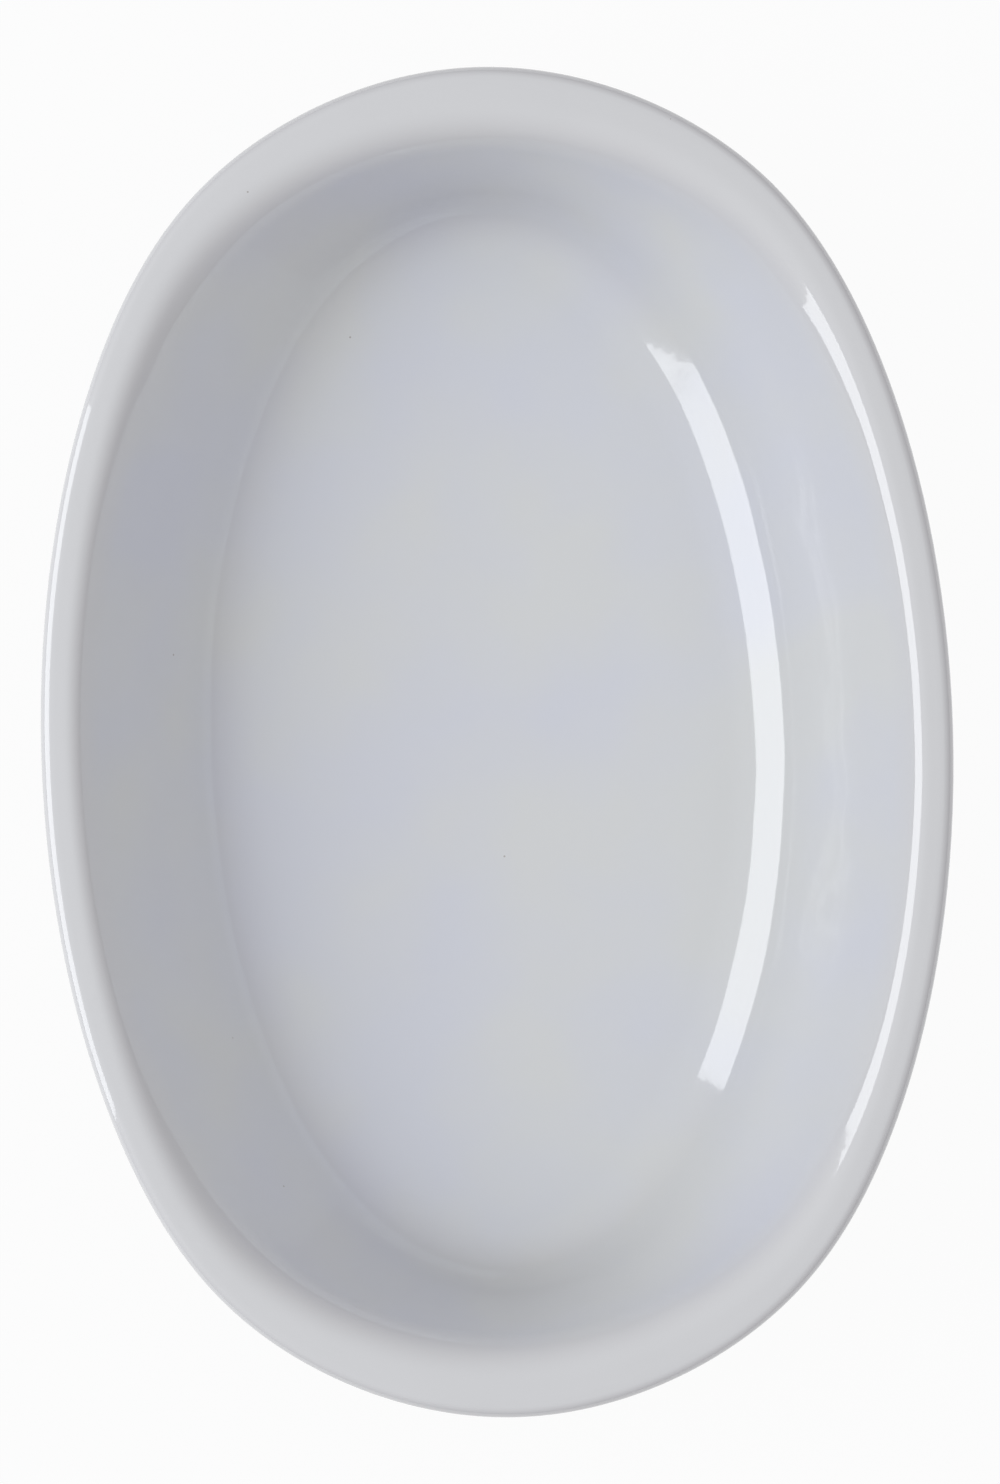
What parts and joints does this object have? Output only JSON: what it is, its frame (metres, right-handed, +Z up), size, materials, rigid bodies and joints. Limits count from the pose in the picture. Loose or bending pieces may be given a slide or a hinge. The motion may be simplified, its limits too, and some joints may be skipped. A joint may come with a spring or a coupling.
{
  "type": "gratin dish",
  "caption": "Oval glazed gratin dish with sloping sides, a flat rolled lip that widens at the ends, and a bare clay foot ring.",
  "frame": {"origin": "the middle of the plane that the foot ring stands on", "axes": "+Z up; +Y along the dish's length; +X across its width"},
  "size_m": [0.1756, 0.26, 0.042],
  "materials": {
    "bare_clay": "bare fired clay, matte",
    "white_glaze": "glossy white glaze"
  },
  "bodies": {
    "root": {"dish_body": "bare_clay", "glaze_coat": "white_glaze", "recess_glaze": "white_glaze"}
  },
  "joints": []
}
